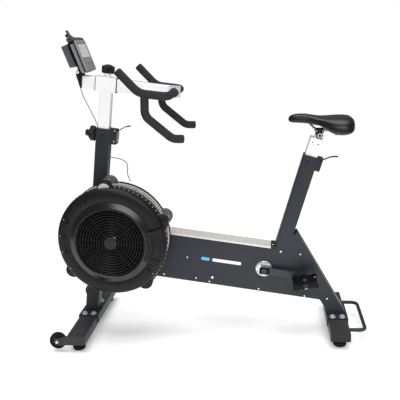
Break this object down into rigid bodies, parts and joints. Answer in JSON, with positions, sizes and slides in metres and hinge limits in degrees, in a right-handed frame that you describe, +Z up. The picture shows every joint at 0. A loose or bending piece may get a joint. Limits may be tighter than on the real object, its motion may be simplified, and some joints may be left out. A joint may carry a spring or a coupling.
{
  "type": "air bike",
  "caption": "Upright exercise bike: pedals drive a caged fan by belt, with a sliding saddle, reach-adjustable looped handlebar, tilting console, transport wheels and lift handle.",
  "frame": {"origin": "on the floor under the centre of the footprint", "axes": "+X from the fan towards the saddle, +Y to the rider's right, +Z up"},
  "size_m": [1.3095, 0.54, 1.2877],
  "materials": {
    "frame_paint": "satin anthracite powder coat",
    "post_paint": "glossy silver-white paint",
    "fan_plastic": "fine-grained black moulding",
    "guard_wire": "satin black",
    "mesh_metal": "perforated sheet, dull",
    "cover_metal": "fine brushed, pale champagne",
    "rotor_metal": "mill finish",
    "chrome": "polished",
    "steel": "turned and zinc plated",
    "crank_paint": "satin dark grey",
    "black_plastic": "moulded, fine grain",
    "pad_rubber": "matt",
    "cable_rubber": "smooth",
    "belt_rubber": "ribbed",
    "grip_foam": "closed-cell foam",
    "saddle_cover": "smooth black synthetic leather",
    "console_grey": "satin grey moulding",
    "console_dark": "dark grey moulding",
    "display_glass": "grey-green liquid crystal under a clear window"
  },
  "bodies": {
    "frame": {"front_foot": "frame_paint", "rear_foot": "frame_paint", "front_foot_bridge": "frame_paint", "rear_foot_bridge": "frame_paint", "foot_pad_front_left": "pad_rubber", "foot_pad_front_right": "pad_rubber", "foot_pad_rear_left": "pad_rubber", "foot_pad_rear_right": "pad_rubber", "lift_handle": "frame_paint", "front_post": "frame_paint", "spine_left_plate": "frame_paint", "spine_right_plate": "frame_paint", "spine_channel": "frame_paint", "spine_top_cover": "cover_metal", "seat_tube": "frame_paint", "fan_front_cover": "fan_plastic", "fan_middle_ring": "fan_plastic", "fan_mesh_band": "mesh_metal", "fan_back_cover": "fan_plastic", "fan_guard_grille": "guard_wire", "drive_belt": "belt_rubber", "fan_belt": "belt_rubber", "crank_bearing_left": "chrome", "crank_bearing_right": "chrome", "cable_socket": "black_plastic", "sensor_cable": "cable_rubber"},
    "fan_wheel": {"fan_rotor": "rotor_metal", "fan_axle": "steel"},
    "middle_shaft": {"middle_pulley": "steel"},
    "crank": {"crank_spindle": "steel", "drive_pulley": "black_plastic", "crank_arm_left": "crank_paint", "crank_arm_right": "crank_paint"},
    "pedal_left": {"pedal_left": "black_plastic"},
    "pedal_right": {"pedal_right": "black_plastic"},
    "transport_wheel_left": {"transport_wheel_left": "black_plastic"},
    "transport_wheel_right": {"transport_wheel_right": "black_plastic"},
    "damper": {"damper_dial": "fan_plastic"},
    "handlebar_post": {"handlebar_post": "post_paint"},
    "reach_knob": {"reach_knob": "black_plastic"},
    "top_tube": {"top_tube": "post_paint", "bar_clamp": "post_paint", "handlebar": "grip_foam", "console_neck": "black_plastic", "console_cable": "cable_rubber"},
    "console": {"console_shell": "console_grey", "console_display": "display_glass", "battery_pack": "console_dark", "phone_rest": "console_dark"},
    "console_button_1": {"console_button_1": "console_dark"},
    "console_button_2": {"console_button_2": "console_dark"},
    "console_button_3": {"console_button_3": "console_dark"},
    "console_button_4": {"console_button_4": "console_dark"},
    "post_knob": {"post_knob": "black_plastic"},
    "post_lever": {"post_lever": "black_plastic"},
    "seat_lever": {"seat_lever": "black_plastic"},
    "seat_post": {"seat_post": "post_paint"},
    "saddle_clamp": {"saddle_clamp": "black_plastic"},
    "saddle": {"saddle": "saddle_cover", "saddle_rails": "steel"}
  },
  "joints": [
    {"name": "fan_spin", "type": "hinge", "parent": "frame", "child": "fan_wheel", "pos_m": [-0.38038, 0, 0.4524], "axis": [0, 1, 0], "continuous": true},
    {"name": "middle_spin", "type": "hinge", "parent": "frame", "child": "middle_shaft", "pos_m": [-0.09719, 0, 0.33121], "axis": [0, 1, 0], "continuous": true},
    {"name": "crank_spin", "type": "hinge", "parent": "frame", "child": "crank", "pos_m": [0.233, 0, 0.282], "axis": [0, 1, 0], "continuous": true},
    {"name": "pedal_left_spin", "type": "hinge", "parent": "crank", "child": "pedal_left", "pos_m": [0.40122, -0.111, 0.25746], "axis": [0, 1, 0], "continuous": true},
    {"name": "pedal_right_spin", "type": "hinge", "parent": "crank", "child": "pedal_right", "pos_m": [0.06478, 0.111, 0.30654], "axis": [0, 1, 0], "continuous": true},
    {"name": "transport_wheel_left_spin", "type": "hinge", "parent": "frame", "child": "transport_wheel_left", "pos_m": [-0.62, -0.2495, 0.048], "axis": [0, 1, 0], "continuous": true},
    {"name": "transport_wheel_right_spin", "type": "hinge", "parent": "frame", "child": "transport_wheel_right", "pos_m": [-0.62, 0.2495, 0.048], "axis": [0, 1, 0], "continuous": true},
    {"name": "damper_turn", "type": "hinge", "parent": "frame", "child": "damper", "pos_m": [-0.38038, -0.187, 0.4524], "axis": [0, 1, 0], "range_deg": [0, 240]},
    {"name": "handlebar_height", "type": "slide", "parent": "frame", "child": "handlebar_post", "axis": [0.1478, 0, 0.989], "range_m": [-0.12, 0.08]},
    {"name": "handlebar_reach", "type": "slide", "parent": "handlebar_post", "child": "top_tube", "axis": [0.989, 0, -0.1478], "range_m": [-0.12, 0.025], "deforming": ["console_cable"]},
    {"name": "reach_knob_turn", "type": "hinge", "parent": "handlebar_post", "child": "reach_knob", "pos_m": [-0.38568, 0, 1.10029], "axis": [0.1478, 0, 0.989], "range_deg": [-180, 180]},
    {"name": "console_tilt", "type": "hinge", "parent": "top_tube", "child": "console", "pos_m": [-0.501, 0, 1.124], "axis": [0, 1, 0], "range_deg": [-15, 15]},
    {"name": "console_button_1_press", "type": "slide", "parent": "console", "child": "console_button_1", "axis": [-0.9483, 0, -0.3173], "range_m": [0, 0.0015], "stiffness_N_per_m": 400},
    {"name": "console_button_2_press", "type": "slide", "parent": "console", "child": "console_button_2", "axis": [-0.9483, 0, -0.3173], "range_m": [0, 0.0015], "stiffness_N_per_m": 400},
    {"name": "console_button_3_press", "type": "slide", "parent": "console", "child": "console_button_3", "axis": [-0.9483, 0, -0.3173], "range_m": [0, 0.0015], "stiffness_N_per_m": 400},
    {"name": "console_button_4_press", "type": "slide", "parent": "console", "child": "console_button_4", "axis": [-0.9483, 0, -0.3173], "range_m": [0, 0.0015], "stiffness_N_per_m": 400},
    {"name": "post_knob_pull", "type": "slide", "parent": "frame", "child": "post_knob", "axis": [-0.989, 0, 0.1478], "range_m": [0, 0.012], "stiffness_N_per_m": 900},
    {"name": "post_lever_turn", "type": "hinge", "parent": "frame", "child": "post_lever", "pos_m": [-0.37003, 0, 0.87349], "axis": [0, 1, 0], "range_deg": [0, 80]},
    {"name": "seat_height", "type": "slide", "parent": "frame", "child": "seat_post", "axis": [0.2924, 0, 0.9563], "range_m": [-0.06, 0.15]},
    {"name": "seat_lever_turn", "type": "hinge", "parent": "frame", "child": "seat_lever", "pos_m": [0.46617, 0, 0.73866], "axis": [0, 1, 0], "range_deg": [0, 75]},
    {"name": "saddle_tilt", "type": "hinge", "parent": "seat_post", "child": "saddle_clamp", "pos_m": [0.459, 0, 0.846], "axis": [0, 1, 0], "range_deg": [-10, 10]},
    {"name": "saddle_fore_aft", "type": "slide", "parent": "saddle_clamp", "child": "saddle", "axis": [1, 0, 0], "range_m": [-0.015, 0.015]}
  ],
  "couplings": [
    {"joint": "middle_spin", "follows": "fan_spin", "ratio": 0.36},
    {"joint": "crank_spin", "follows": "fan_spin", "ratio": 0.09}
  ]
}
